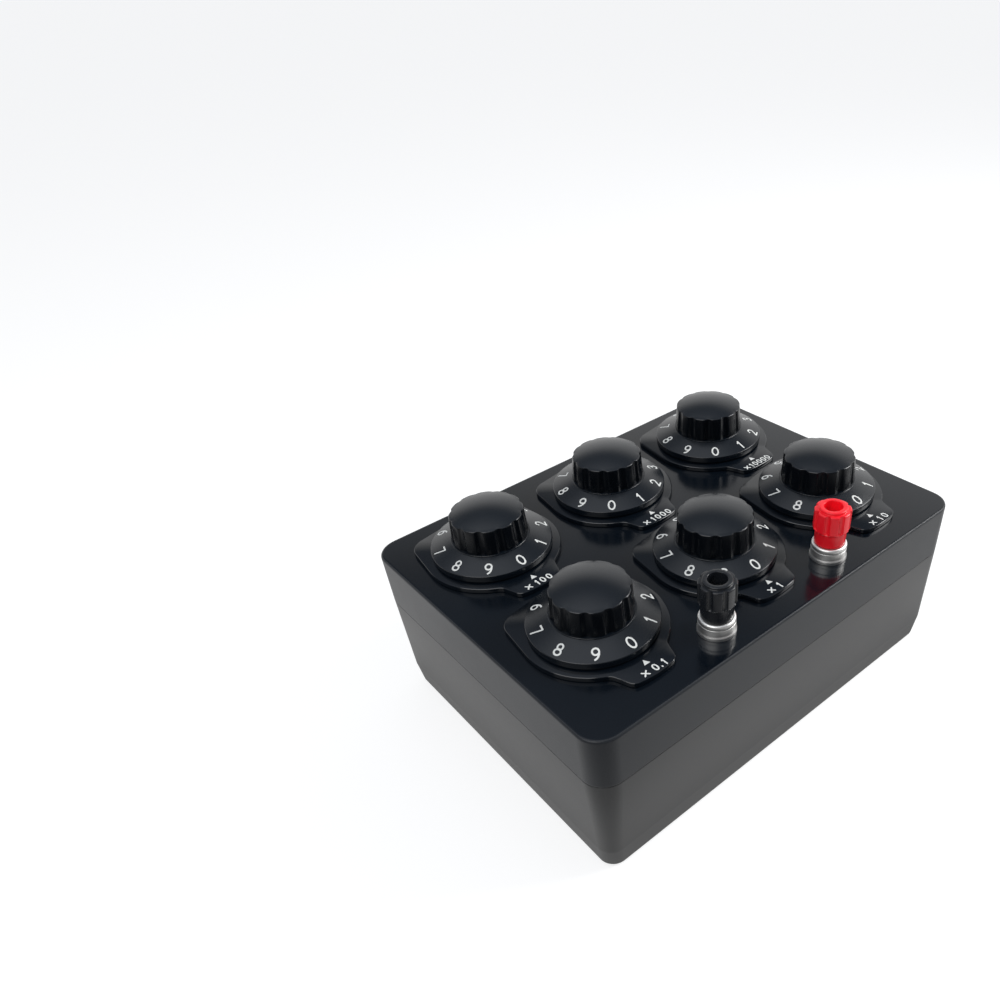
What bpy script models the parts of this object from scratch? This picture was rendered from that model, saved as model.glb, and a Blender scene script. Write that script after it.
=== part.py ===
"""Decade resistance box: a moulded case whose lid carries six ten-way switches and two binding posts.

Metres, +Z up. The origin is the middle of the box on the surface that its feet stand on. +X runs along the
long side, and +Y from the front, where the posts are, to the back.
"""
from math import acos, asin, atan2, cos, pi, radians, sin, tau

import bmesh
import bpy
from mathutils import Matrix, Vector

# Fits that every piece shares
gap = 0.0003
overrun = 0.002
weld_distance = 0.00001
smooth_angle = radians(35)
round_facets = 12

# Case
case_height = 0.075
side_margin = 0.0087
front_margin = 0.0107
back_margin = 0.0089
corner_radius = 0.0102
corner_steps = 4

# Lid
lid_height = 0.0236
lid_wall = 0.0024
panel_thickness = 0.003
lid_draft = 0.0002
panel_edge_round = 0.001
panel_edge_steps = 2
lid_boss_radius = 0.0045
lid_boss_reach = 0.0277
screw_engagement = 0.008
screw_end_room = 0.004

# Tub
tub_inset = 0.0007
band_inset = 0.0018
base_inset = 0.003
band_height = 0.0105
base_corner_radius = 0.0066
tub_wall = 0.003
tub_floor = 0.003
tongue_height = 0.0025
tongue_thickness = 0.0012
tub_boss_radius = 0.0055

# Feet and case screws
foot_radius = 0.0064
foot_thickness = 0.0026
foot_proud = 0.0008
foot_margin = 0.0036
foot_facets = 16
screw_radius = 0.002
screw_head_radius = 0.0035
screw_head_height = 0.0025
screw_head_lift = 0.009
screw_slot_width = 0.001
screw_slot_depth = 0.0012
screw_facets = 10

# Dials
positions = 10
step_angle = tau / positions
dial_gap = 0.0064
row_gap = 0.0032
escutcheon_radius = 0.0283
escutcheon_thickness = 0.0018
shoulder_radius = 0.0080
shoulder_side_inset = 0.0021
shoulder_back_inset = 0.0027
escutcheon_steps = 7
shoulder_steps = 4
crown_steps = 2
tab_length = 0.0070
tab_half_width = 0.0097
tab_root_half_width = 0.0128
tab_bow = 0.0009
tab_steps = 4

# Knob
skirt_radius = 0.0250
skirt_lift = 0.0007
skirt_rim_height = 0.0028
skirt_rise = 0.0030
skirt_wall = 0.0022
grip_radius = 0.0157
grip_height = 0.0106
grip_draft = 0.0006
dome_rise = 0.0025
dome_round = 0.0010
dome_ring_share = 0.6
knob_step_reach = 0.0006
knob_step_height = 0.0005
knob_roof = 0.0014
flutes = 12
flute_radius = 0.0026
flute_depth = 0.0009
flute_facets = 10
knob_hub_radius = 0.0062
knob_hub_lift = 0.0008
knob_facets = 24

# Switch
shaft_radius = 0.003
shaft_facets = 10
bush_thread_radius = 0.005
bush_nut_radius = 0.0082
bush_nut_height = 0.0022
bush_pillar_radius = 0.0065
bush_spigot_radius = 0.0046
bush_rivet_radius = 0.0056
bush_rivet_height = 0.0006
bush_facets = 10

# Contact board
board_drop = 0.018
board_thickness = 0.002
board_margin = 0.0013
stud_circle = 0.015
stud_radius = 0.0019
stud_height = 0.001
slip_ring_radius = 0.0086
slip_ring_width = 0.0016
stud_facets = 6
slip_ring_facets = 12

# Brush
brush_hub_radius = 0.005
brush_hub_height = 0.0055
brush_leaf_width = 0.005
brush_leaf_thickness = 0.0008
brush_leaf_drop = 0.0012
brush_tail = 0.0085
brush_shoe_radius = 0.0014
brush_shoe_facets = 8
shaft_end_proud = 0.0015

# Resistors
spool_circle = 0.018
spool_radius = 0.0031
spool_height = 0.009
spool_facets = 6
spool_lead_radius = 0.0005
spool_lead_height = 0.0045

# Binding posts
post_inset = 0.014
post_stud_radius = 0.003
post_stud_drop = 0.010
socket_radius = 0.0021
socket_depth = 0.020
collar_radius = 0.0075
collar_body_radius = 0.0072
collar_flange_height = 0.0011
collar_height = 0.0045
collar_chamfer = 0.0004
washer_radius = 0.0069
washer_height = 0.0019
washer_chamfer = 0.0004
cap_height = 0.0161
cap_foot_radius = 0.0061
cap_foot_height = 0.0056
cap_radius = 0.0071
cap_shoulder = 0.0012
cap_ring_radius = 0.0056
cap_ring_height = 0.0010
cap_chamfer = 0.0004
cap_hole_radius = 0.0037
cap_hole_depth = 0.0066
cap_grooves = 8
cap_groove_radius = 0.0012
cap_groove_depth = 0.0008
cap_groove_facets = 8
post_nut_radius = 0.0058
post_nut_height = 0.0025
post_nut_sides = 6
post_facets = 20

# Leads from the posts to the board
lead_radius = 0.0008
lead_landing = 0.005
lead_drop = 0.0035
lead_points = 7

# Heights that follow
base_z = foot_proud
seam_z = case_height - lid_height
panel_top = case_height
panel_under = panel_top - panel_thickness
board_top = panel_under - board_drop
board_under = board_top - board_thickness
stud_face = board_under - stud_height
escutcheon_top = panel_top + gap + escutcheon_thickness
bush_top = escutcheon_top + gap + bush_nut_height
skirt_bottom = escutcheon_top + skirt_lift
rim_top = skirt_bottom + skirt_rim_height
cone_top = rim_top + skirt_rise
grip_base = cone_top + knob_step_height
grip_top = grip_base + grip_height
shaft_top = grip_top - knob_roof - gap
collar_top = panel_top + gap + collar_height
washer_base = collar_top + gap
washer_top = washer_base + washer_height
cap_base = washer_top + gap
cap_top = cap_base + cap_height
stud_top = cap_top - cap_hole_depth - gap

# Places that follow
shoulder_x = escutcheon_radius - shoulder_side_inset - shoulder_radius
shoulder_y = escutcheon_radius - shoulder_back_inset - shoulder_radius
tab_reach = escutcheon_radius + tab_length
dial_spacing = 2 * escutcheon_radius + dial_gap
row_spacing = escutcheon_radius + tab_reach + row_gap
case_length = 2 * (dial_spacing + escutcheon_radius + side_margin)
case_width = front_margin + tab_reach + row_spacing + escutcheon_radius + back_margin
front_row_y = -case_width / 2 + front_margin + tab_reach
post_y = -case_width / 2 + post_inset
tub_corner_radius = corner_radius - tub_inset
knob_step_radius = grip_radius + knob_step_reach
board_corner_radius = spool_circle + spool_radius + board_margin
boss_inset = base_inset + foot_margin + foot_radius
boss_x = case_length / 2 - boss_inset
boss_y = case_width / 2 - boss_inset
back_row_y = front_row_y + row_spacing
lid_cavity_length = case_length / 2 - lid_draft - lid_wall
lid_cavity_width = case_width / 2 - lid_draft - lid_wall
corners = [(sx * boss_x, sy * boss_y) for sy in (-1, 1) for sx in (-1, 1)]
corner_names = ("front_left", "front_right", "back_left", "back_right")

# Name, place and the digit that the pointer shows, in the order of the decades
dials = (
    ("tenths", (-dial_spacing, front_row_y), 0),
    ("ones", (0, front_row_y), 0),
    ("tens", (dial_spacing, front_row_y), 0),
    ("ten_thousands", (dial_spacing, back_row_y), 1),
    ("thousands", (0, back_row_y), 1),
    ("hundreds", (-dial_spacing, back_row_y), 0),
)
posts = (("black", -dial_spacing / 2), ("red", dial_spacing / 2))


def clear_scene():
    """Empties the file before the model is built."""
    for thing in list(bpy.data.objects):
        bpy.data.objects.remove(thing)


def make_collection(name):
    """A collection linked to the scene."""
    group = bpy.data.collections.new(name)
    bpy.context.scene.collection.children.link(group)
    return group


clear_scene()
parts = make_collection("decade_resistance_box")
cutters = make_collection("cutters")


def make_material(name, colour, roughness, metallic=0.0):
    """A Principled material with one colour."""
    material = bpy.data.materials.new(name)
    material.use_nodes = True
    shader = material.node_tree.nodes["Principled BSDF"]
    shader.inputs["Base Color"].default_value = (*colour, 1)
    shader.inputs["Roughness"].default_value = roughness
    shader.inputs["Metallic"].default_value = metallic
    return material


def place(name, mesh, material=None, at=(0, 0, 0), parent=None, group=parts):
    """An object for a mesh, shaded smooth between its sharp edges."""
    thing = bpy.data.objects.new(name, mesh)
    group.objects.link(thing)
    thing.location = at
    thing.parent = parent
    mesh.shade_smooth()
    mesh.set_sharp_from_angle(angle=smooth_angle)
    if material:
        mesh.materials.clear()
        mesh.materials.append(material)
    if group is cutters:
        thing.hide_render = True
        thing.display_type = "WIRE"
    return thing


def mesh_from(name, bm):
    """Turns a bmesh into a mesh with its faces pointing out."""
    bmesh.ops.recalc_face_normals(bm, faces=bm.faces)
    mesh = bpy.data.meshes.new(name)
    bm.to_mesh(mesh)
    bm.free()
    return mesh


def rods(name, radius, bottom, top, centres=((0, 0),), facets=round_facets):
    """Upright cylinders at each centre in one mesh."""
    bm = bmesh.new()
    height = top - bottom
    for x, y in centres:
        middle = Matrix.Translation((x, y, bottom + height / 2))
        bmesh.ops.create_cone(bm, cap_ends=True, segments=facets, radius1=radius, radius2=radius, depth=height,
                              matrix=middle)
    return mesh_from(name, bm)


def block(name, low, high):
    """A box between two corners."""
    bm = bmesh.new()
    low, high = Vector(low), Vector(high)
    matrix = Matrix.Translation((low + high) / 2) @ Matrix.Diagonal((*(high - low), 1))
    bmesh.ops.create_cube(bm, size=1, matrix=matrix)
    return mesh_from(name, bm)


def arc(centre, radius, start, end, steps):
    """Points along an arc, both ends among them."""
    x, y = centre
    angles = [start + (end - start) * step / steps for step in range(steps + 1)]
    return [(x + radius * cos(angle), y + radius * sin(angle)) for angle in angles]


def rounded_rectangle(half_length, half_width, radius, z):
    """Points round a rectangle whose corners are arcs."""
    ring = []
    for quarter, (sx, sy) in enumerate(((1, 1), (-1, 1), (-1, -1), (1, -1))):
        centre = (sx * (half_length - radius), sy * (half_width - radius))
        ring += arc(centre, radius, quarter * pi / 2, (quarter + 1) * pi / 2, corner_steps)
    return [(x, y, z) for x, y in ring]


def loft(name, rings):
    """A closed solid through a stack of rings that have as many points each."""
    bm = bmesh.new()
    levels = [[bm.verts.new(point) for point in ring] for ring in rings]
    for lower, upper in zip(levels, levels[1:]):
        count = len(lower)
        for i in range(count):
            j = (i + 1) % count
            bm.faces.new((lower[i], lower[j], upper[j], upper[i]))
    bm.faces.new(levels[0])
    bm.faces.new(levels[-1])
    return mesh_from(name, bm)


def turned(name, profile, facets, material=None, group=parts, closed=False):
    """A turned solid: a profile of (radius, height) points, down its outer side, under a Screw modifier."""
    mesh = bpy.data.meshes.new(name)
    points = [(radius, 0, z) for radius, z in profile]
    edges = [(i, i + 1) for i in range(len(points) - 1)]
    if closed:
        edges.append((len(points) - 1, 0))
    mesh.from_pydata(points, edges, [])
    thing = place(name, mesh, material, group=group)
    screw = thing.modifiers.new("turn", "SCREW")
    screw.steps = facets
    screw.render_steps = facets
    screw.use_merge_vertices = True
    screw.merge_threshold = weld_distance
    screw.use_smooth_shade = True
    return thing


def outline_solid(name, points, bottom, top):
    """A flat plate from a closed outline, with its two faces welded to its edge."""
    curve = bpy.data.curves.new(name, "CURVE")
    curve.dimensions = "2D"
    curve.fill_mode = "BOTH"
    curve.extrude = (top - bottom) / 2
    line = curve.splines.new("POLY")
    line.points.add(len(points) - 1)
    for point, (x, y) in zip(line.points, points):
        point.co = (x, y, 0, 1)
    line.use_cyclic_u = True
    return mesh_of_curve(name, curve, (0, 0, (top + bottom) / 2))


def tube(name, route, radius, sides=2):
    """A round tube along points, with welded caps."""
    curve = bpy.data.curves.new(name, "CURVE")
    curve.dimensions = "3D"
    curve.bevel_depth = radius
    curve.bevel_resolution = sides
    curve.use_fill_caps = True
    line = curve.splines.new("POLY")
    line.points.add(len(route) - 1)
    for point, (x, y, z) in zip(line.points, route):
        point.co = (x, y, z, 1)
    return mesh_of_curve(name, curve, (0, 0, 0))


def mesh_of_curve(name, curve, at):
    """The welded mesh of a curve, moved to its place."""
    guide = bpy.data.objects.new(name, curve)
    cutters.objects.link(guide)
    guide.location = at
    bpy.context.view_layer.update()
    mesh = bpy.data.meshes.new_from_object(guide.evaluated_get(bpy.context.evaluated_depsgraph_get()))
    mesh.transform(guide.matrix_world)
    bpy.data.objects.remove(guide)
    bm = bmesh.new()
    bm.from_mesh(mesh)
    bmesh.ops.remove_doubles(bm, verts=bm.verts, dist=weld_distance)
    return mesh_from(name, bm)


def combine(target, mesh, operation, at=(0, 0, 0)):
    """A Boolean of a mesh on a part; the mesh stays as a wire cutter."""
    cutter = place(target.name + "_" + mesh.name, mesh, at=at, group=cutters)
    step = target.modifiers.new(mesh.name, "BOOLEAN")
    step.operation = operation
    step.solver = "EXACT"
    step.object = cutter
    return cutter


def cut(target, mesh):
    """Takes a mesh out of a part."""
    return combine(target, mesh, "DIFFERENCE")


def join(target, mesh):
    """Fuses a mesh to a part."""
    return combine(target, mesh, "UNION")


def bake(pattern):
    """The finished mesh of a part that is made once and used again, without the part and its cutters."""
    bpy.context.view_layer.update()
    mesh = bpy.data.meshes.new_from_object(pattern.evaluated_get(bpy.context.evaluated_depsgraph_get()))
    for step in list(pattern.modifiers):
        if step.type == "BOOLEAN":
            bpy.data.objects.remove(step.object)
    bpy.data.objects.remove(pattern)
    return mesh


def make_top_cover(material):
    """The lid: a panel with a rounded edge, short walls, holes for the switches and posts, and four bosses."""
    half_length = case_length / 2
    half_width = case_width / 2
    rings = [rounded_rectangle(half_length - lid_draft, half_width - lid_draft, corner_radius - lid_draft, seam_z)]
    for step in range(panel_edge_steps + 1):
        angle = step / panel_edge_steps * pi / 2
        inset = panel_edge_round * (1 - cos(angle))
        z = panel_top - panel_edge_round * (1 - sin(angle))
        rings.append(rounded_rectangle(half_length - inset, half_width - inset, corner_radius - inset, z))
    cover = place("top_cover", loft("lid_outside", rings), material)
    inner_radius = corner_radius - lid_wall
    cavity = [rounded_rectangle(lid_cavity_length, lid_cavity_width, inner_radius, z)
              for z in (seam_z - overrun, panel_under)]
    cut(cover, loft("lid_inside", cavity))
    boss_bottom = panel_under - lid_boss_reach
    join(cover, rods("lid_bosses", lid_boss_radius, boss_bottom, panel_under + panel_thickness / 2, corners))
    hole = screw_radius + gap
    hole_end = boss_bottom + screw_engagement + screw_end_room
    cut(cover, rods("screw_holes", hole, boss_bottom - overrun, hole_end, corners))
    switch_places = [at for _, at, _ in dials]
    post_places = [(x, post_y) for _, x in posts]
    below, above = panel_under - overrun, panel_top + overrun
    cut(cover, rods("switch_holes", bush_thread_radius + gap, below, above, switch_places, bush_facets))
    cut(cover, rods("post_holes", post_stud_radius + gap, below, above, post_places))
    return cover


def make_lower_case(material):
    """The tub: walls drawn in to a bevelled band, a tongue inside the lid, and bosses over the feet."""
    half_length = case_length / 2
    half_width = case_width / 2
    rim_z = seam_z - gap
    tongue_top = rim_z + tongue_height
    tongue_length = lid_cavity_length - gap
    tongue_width = lid_cavity_width - gap
    tongue_radius = corner_radius - lid_wall - gap
    outside = [
        rounded_rectangle(half_length - base_inset, half_width - base_inset, base_corner_radius, base_z),
        rounded_rectangle(half_length - band_inset, half_width - band_inset, base_corner_radius,
                          base_z + band_height),
        rounded_rectangle(half_length - tub_inset, half_width - tub_inset, tub_corner_radius, rim_z),
        rounded_rectangle(tongue_length, tongue_width, tongue_radius, rim_z),
        rounded_rectangle(tongue_length, tongue_width, tongue_radius, tongue_top),
    ]
    tub = place("lower_case", loft("tub_outside", outside), material)
    floor_z = base_z + tub_floor
    inner_length = tongue_length - tongue_thickness
    inner_width = tongue_width - tongue_thickness
    inner_radius = tongue_radius - tongue_thickness
    foot_length = half_length - base_inset - tub_wall
    foot_width = half_width - base_inset - tub_wall
    inside = [
        rounded_rectangle(foot_length, foot_width, base_corner_radius - tub_wall, floor_z),
        rounded_rectangle(inner_length, inner_width, inner_radius, tongue_top + overrun),
    ]
    cut(tub, loft("tub_inside", inside))
    boss_top = panel_under - lid_boss_reach - gap
    join(tub, rods("tub_bosses", tub_boss_radius, base_z + tub_floor / 2, boss_top, corners))
    screw_seat = base_z + screw_head_lift + screw_head_height + gap
    head_hole = screw_head_radius + gap
    below = base_z - overrun
    recess_top = foot_thickness + gap
    cut(tub, rods("foot_recesses", foot_radius + gap, below, recess_top, corners, foot_facets))
    cut(tub, rods("head_holes", head_hole, below, screw_seat, corners))
    cut(tub, rods("shank_holes", screw_radius + gap, below, boss_top + overrun, corners))
    return tub


def make_feet(material):
    """Rubber feet, pressed into recesses over the case screws."""
    mesh = rods("foot", foot_radius, 0, foot_thickness, facets=foot_facets)
    for name, (x, y) in zip(corner_names, corners):
        place("foot_" + name, mesh, material, (x, y, 0))


def make_case_screws(material):
    """Slotted screws that come up through the tub's bosses into the lid's."""
    head_bottom = base_z + screw_head_lift
    head_top = head_bottom + screw_head_height
    tip = panel_under - lid_boss_reach + screw_engagement
    profile = [(0, tip), (screw_radius, tip), (screw_radius, head_top), (screw_head_radius, head_top),
               (screw_head_radius, head_bottom), (0, head_bottom)]
    screw = turned("case_screw", profile, screw_facets)
    reach = screw_head_radius + overrun
    slot = block("slot", (-reach, -screw_slot_width / 2, head_bottom - overrun),
                 (reach, screw_slot_width / 2, head_bottom + screw_slot_depth))
    cut(screw, slot)
    mesh = bake(screw)
    for name, (x, y) in zip(corner_names, corners):
        place("case_screw_" + name, mesh, material, (x, y, 0))


def escutcheon_outline():
    """A round plate with two filled-out shoulders at the back and a tab towards -Y, whose end is slightly bowed."""
    away = Vector((shoulder_x, shoulder_y))
    lean = acos((escutcheon_radius - shoulder_radius) / away.length)
    middle = atan2(shoulder_y, shoulder_x)
    root = asin(tab_root_half_width / escutcheon_radius) - pi / 2
    right = arc((0, 0), escutcheon_radius, root, middle - lean, escutcheon_steps)
    right += arc(away, shoulder_radius, middle - lean, middle + lean, shoulder_steps)
    crown = arc((0, 0), escutcheon_radius, middle + lean, pi - middle - lean, crown_steps)
    left = [(-x, y) for x, y in reversed(right)]
    shares = [-1 + 2 * step / tab_steps for step in range(tab_steps + 1)]
    tab = [(tab_half_width * share, -tab_reach + tab_bow * share ** 2) for share in shares]
    return right + crown + left + tab


def make_escutcheon_mesh():
    """The plate under a knob, bored for the switch bush."""
    bottom = gap
    top = gap + escutcheon_thickness
    plate = place("escutcheon", outline_solid("plate", escutcheon_outline(), bottom, top))
    hole = bush_thread_radius + gap
    cut(plate, rods("bore", hole, bottom - overrun, top + overrun, facets=bush_facets))
    return bake(plate)


def make_knob_mesh():
    """A knob: fluted grip with a shallow dome, a conical skirt hollow underneath, and a bored hub."""
    bore = shaft_radius + gap
    bore_top = shaft_top + gap - panel_top
    hub_bottom = bush_top + knob_hub_lift - panel_top
    ceiling = cone_top - skirt_wall - panel_top
    inner = skirt_radius - skirt_wall
    rim_bottom = skirt_bottom - panel_top
    rim = rim_top - panel_top
    cone = cone_top - panel_top
    base = grip_base - panel_top
    top = grip_top - panel_top
    top_radius = grip_radius - grip_draft
    profile = [
        (0, top + dome_rise),
        (top_radius * dome_ring_share, top + dome_rise * (1 - dome_ring_share ** 2)),
        (top_radius - dome_round, top),
        (top_radius, top - dome_round),
        (grip_radius, base),
        (knob_step_radius, base),
        (knob_step_radius, cone),
        (skirt_radius, rim),
        (skirt_radius, rim_bottom),
        (inner, rim_bottom),
        (inner, rim_bottom + skirt_rim_height / 2),
        (knob_step_radius, ceiling),
        (knob_hub_radius, ceiling),
        (knob_hub_radius, hub_bottom),
        (bore, hub_bottom),
        (bore, bore_top),
        (0, bore_top),
    ]
    knob = turned("knob", profile, knob_facets)
    centre = grip_radius + flute_radius - flute_depth
    angles = [tau * (i + 1 / 2) / flutes for i in range(flutes)]
    ring = [(centre * cos(a), centre * sin(a)) for a in angles]
    cut(knob, rods("flutes", flute_radius, base, top + dome_rise + overrun, ring, flute_facets))
    return bake(knob)


def make_shaft_mesh():
    """The steel spindle from the knob's hub down to the brush."""
    bottom = stud_face - gap - brush_hub_height - shaft_end_proud - panel_top
    return rods("shaft", shaft_radius, bottom, shaft_top - panel_top, facets=shaft_facets)


def make_bush_mesh():
    """A bush with its nut: it clamps the escutcheon to the panel and carries the board on a riveted spigot."""
    bore = shaft_radius + gap
    nut_bottom = escutcheon_top + gap - panel_top
    shoulder = panel_under - gap - panel_top
    seat = board_top + gap - panel_top
    spigot_end = board_under - gap - panel_top
    rivet_bottom = spigot_end - bush_rivet_height
    profile = [
        (bore, bush_top - panel_top),
        (bush_nut_radius, bush_top - panel_top),
        (bush_nut_radius, nut_bottom),
        (bush_thread_radius, nut_bottom),
        (bush_thread_radius, shoulder),
        (bush_pillar_radius, shoulder),
        (bush_pillar_radius, seat),
        (bush_spigot_radius, seat),
        (bush_spigot_radius, spigot_end),
        (bush_rivet_radius, spigot_end),
        (bush_rivet_radius, rivet_bottom),
        (bore, rivet_bottom),
    ]
    return bake(turned("bush", profile, bush_facets, closed=True))


def make_brush_mesh():
    """The brush on the shaft's lower end: a hub, a leaf across it and a shoe under the stud heads."""
    hub_top = stud_face - gap - panel_top
    hub_bottom = hub_top - brush_hub_height
    leaf_top = hub_top - brush_leaf_drop
    leaf_bottom = leaf_top - brush_leaf_thickness
    half = brush_leaf_width / 2
    brush = place("brush", rods("hub", brush_hub_radius, hub_bottom, hub_top - brush_leaf_thickness))
    reach = stud_circle + brush_shoe_radius
    join(brush, block("leaf", (-half, -brush_tail, leaf_bottom), (half, reach, leaf_top)))
    join(brush, rods("shoe", brush_shoe_radius, leaf_bottom + brush_leaf_thickness / 2, hub_top,
                     ((0, stud_circle),), brush_shoe_facets))
    cut(brush, rods("bore", shaft_radius + gap, hub_bottom - overrun, hub_top + overrun, facets=shaft_facets))
    return bake(brush)


def make_chain_mesh():
    """Nine wound spools between the ten contacts, joined by one lead from the first to the last."""
    bottom = board_top + gap - panel_top
    angles = [pi / 2 - step_angle * (i + 1 / 2) for i in range(positions - 1)]
    places = [(spool_circle * cos(a), spool_circle * sin(a)) for a in angles]
    chain = place("chain", rods("spools", spool_radius, bottom, bottom + spool_height, places, spool_facets))
    lead_z = bottom + spool_lead_height
    route = [(x, y, lead_z) for x, y in places]
    join(chain, tube("lead", route, spool_lead_radius, 0))
    return bake(chain)


def make_dials(materials):
    """Six switches: the fixed pieces hang on a station, the turning ones on an axis that shows the digit."""
    escutcheon = make_escutcheon_mesh()
    knob = make_knob_mesh()
    shaft = make_shaft_mesh()
    bush = make_bush_mesh()
    brush = make_brush_mesh()
    chain = make_chain_mesh()
    for name, (x, y), digit in dials:
        station = bpy.data.objects.new("station_" + name, None)
        parts.objects.link(station)
        station.location = (x, y, panel_top)
        axis = bpy.data.objects.new("axis_" + name, None)
        parts.objects.link(axis)
        axis.parent = station
        axis.rotation_euler = (0, 0, -step_angle * digit)
        place("escutcheon_" + name, escutcheon, materials["escutcheon"], parent=station)
        place("bush_" + name, bush, materials["brass"], parent=station)
        place("resistor_chain_" + name, chain, materials["winding"], parent=station)
        place("knob_" + name, knob, materials["knob"], parent=axis)
        place("shaft_" + name, shaft, materials["steel"], parent=axis)
        place("brush_" + name, brush, materials["bronze"], parent=axis)


def make_board(material):
    """The contact board: bored for the six bushes, with stud heads and a slip ring under each switch."""
    reach = spool_circle + spool_radius + board_margin
    half_length = dial_spacing + reach
    half_width = row_spacing / 2 + reach
    middle = front_row_y + row_spacing / 2
    rings = [[(x, y + middle, z) for x, y, z in rounded_rectangle(half_length, half_width, board_corner_radius, z)]
             for z in (board_under, board_top)]
    board = place("main_board", loft("board", rings), material)
    angles = [pi / 2 + step_angle * i for i in range(positions)]
    heads = [(x + stud_circle * cos(a), y + stud_circle * sin(a)) for _, (x, y), _ in dials for a in angles]
    centres = [at for _, at, _ in dials]
    inside = board_under + board_thickness / 2
    join(board, rods("studs", stud_radius, stud_face, inside, heads, stud_facets))
    join(board, rods("slip_rings", slip_ring_radius, stud_face, inside, centres, slip_ring_facets))
    ring_hole = slip_ring_radius - slip_ring_width
    cut(board, rods("ring_holes", ring_hole, stud_face - overrun, board_under, centres, slip_ring_facets))
    bore = bush_spigot_radius + gap
    cut(board, rods("bush_holes", bore, board_under - overrun, board_top + overrun, centres, bush_facets))
    return board


def make_collar_mesh():
    """The fixed nickel collar of a post: a flange on the panel and a stepped body."""
    bore = post_stud_radius + gap
    bottom = gap
    flange_top = bottom + collar_flange_height
    top = bottom + collar_height
    profile = [
        (bore, top),
        (collar_body_radius - collar_chamfer, top),
        (collar_body_radius, top - collar_chamfer),
        (collar_body_radius, flange_top + collar_chamfer),
        (collar_radius, flange_top),
        (collar_radius, bottom),
        (bore, bottom),
    ]
    return bake(turned("collar", profile, post_facets, closed=True))


def make_washer_mesh():
    """The clamp washer that lifts with the cap and presses a wire on the collar."""
    bore = post_stud_radius + gap
    bottom = washer_base - panel_top
    top = bottom + washer_height
    profile = [
        (bore, top),
        (washer_radius - washer_chamfer, top),
        (washer_radius, top - washer_chamfer),
        (washer_radius, bottom),
        (bore, bottom),
    ]
    return bake(turned("washer", profile, post_facets, closed=True))


def make_cap_mesh():
    """The moulded cap: plain foot, grooved barrel, chamfered ring and a wide hole over the threaded bore."""
    bore = post_stud_radius + gap
    bottom = cap_base - panel_top
    top = cap_top - panel_top
    barrel_bottom = bottom + cap_foot_height
    ring_bottom = top - cap_ring_height
    hole_bottom = top - cap_hole_depth
    profile = [
        (cap_hole_radius, top),
        (cap_ring_radius - cap_chamfer, top),
        (cap_ring_radius, top - cap_chamfer),
        (cap_ring_radius, ring_bottom),
        (cap_radius - cap_chamfer, ring_bottom),
        (cap_radius, ring_bottom - cap_chamfer),
        (cap_radius, barrel_bottom + cap_shoulder),
        (cap_foot_radius, barrel_bottom),
        (cap_foot_radius, bottom),
        (bore, bottom),
        (bore, hole_bottom),
        (cap_hole_radius, hole_bottom),
    ]
    cap = turned("cap", profile, post_facets, closed=True)
    centre = cap_radius + cap_groove_radius - cap_groove_depth
    angles = [tau * (i + 1 / 2) / cap_grooves for i in range(cap_grooves)]
    ring = [(centre * cos(angle), centre * sin(angle)) for angle in angles]
    groove_end = barrel_bottom + cap_shoulder / 2
    cut(cap, rods("grooves", cap_groove_radius, groove_end, top + overrun, ring, cap_groove_facets))
    return bake(cap)


def make_post_stud_mesh():
    """The nickel stud through the panel, with the plug socket in its upper end."""
    bottom = panel_under - post_stud_drop - panel_top
    top = stud_top - panel_top
    stud = place("post_stud", rods("stud", post_stud_radius, bottom, top))
    cut(stud, rods("socket", socket_radius, top - socket_depth, top + overrun))
    return bake(stud)


def make_post_nut_mesh():
    """The hexagon nut under the panel."""
    top = panel_under - gap - panel_top
    bottom = top - post_nut_height
    nut = place("post_nut", rods("nut", post_nut_radius, bottom, top, facets=post_nut_sides))
    cut(nut, rods("bore", post_stud_radius + gap, bottom - overrun, top + overrun))
    return bake(nut)


def make_posts(materials):
    """Two binding posts; each cap sits on an axis that turns and climbs, and its washer climbs with it."""
    stud = make_post_stud_mesh()
    nut = make_post_nut_mesh()
    collar = make_collar_mesh()
    washer = make_washer_mesh()
    cap = make_cap_mesh()
    for name, x in posts:
        station = bpy.data.objects.new("station_" + name + "_post", None)
        parts.objects.link(station)
        station.location = (x, post_y, panel_top)
        place(name + "_post_stud", stud, materials["nickel"], parent=station)
        place(name + "_post_nut", nut, materials["nickel"], parent=station)
        place(name + "_post_collar", collar, materials["nickel"], parent=station)
        place(name + "_post_washer", washer, materials["nickel"], parent=station)
        own_cap = cap if name == "black" else cap.copy()
        place(name + "_post_cap", own_cap, materials[name], parent=station)


def make_leads(materials):
    """Insulated leads from the lower end of each stud down onto the board's front edge."""
    stud_end = panel_under - post_stud_drop - gap
    rest_z = board_top + gap + lead_radius
    board_edge = front_row_y - spool_circle - spool_radius - board_margin
    landing_y = board_edge + lead_landing
    for name, x in posts:
        start = Vector((x, post_y, stud_end))
        bend = Vector((x, post_y, stud_end - lead_drop))
        under = Vector((x, post_y + lead_drop, rest_z))
        end = Vector((x, landing_y, rest_z))
        route = [start]
        for step in range(1, lead_points):
            t = step / lead_points
            route.append((1 - t) ** 3 * start + 3 * (1 - t) ** 2 * t * bend + 3 * (1 - t) * t ** 2 * under + t ** 3 * end)
        route.append(end)
        place("lead_" + name, tube("lead", route, lead_radius), materials["lead_" + name])


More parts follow.
